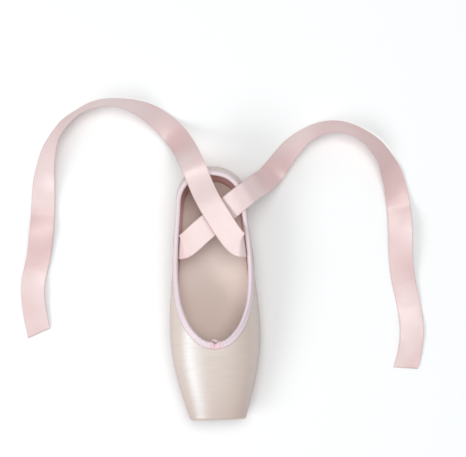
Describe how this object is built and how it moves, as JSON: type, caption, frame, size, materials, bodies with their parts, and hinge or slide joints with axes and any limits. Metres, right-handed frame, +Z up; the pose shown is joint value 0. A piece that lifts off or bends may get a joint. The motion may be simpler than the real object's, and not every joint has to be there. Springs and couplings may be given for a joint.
{
  "type": "pointe shoe",
  "caption": "Satin pointe shoe with a stiff box, flat platform, low rounded throat, drawstring casing, leather outsole and sewn-in ankle ribbons lying loose.",
  "frame": {"origin": "on the floor, under the middle of the shoe's length and width without its ribbons", "axes": "+Z up, +Y from the toe's platform towards the heel, +X to the shoe's left as it is worn"},
  "size_m": [0.3767, 0.3039, 0.0534],
  "materials": {
    "satin": "ballet-pink satin with a soft sheen",
    "casing_satin": "pink satin bias strip",
    "ribbon_satin": "single-faced pink satin ribbon",
    "sole_leather": "buffed sole leather",
    "insole_lining": "cotton sock over the insole board"
  },
  "bodies": {
    "root": {"upper": "satin", "outsole": "sole_leather", "insole": "insole_lining", "topline_binding": "casing_satin", "drawstring_knot": "casing_satin", "ribbon_tab_right": "ribbon_satin", "ribbon_tab_left": "ribbon_satin", "ribbon_right": "ribbon_satin", "ribbon_left": "ribbon_satin"}
  },
  "joints": []
}
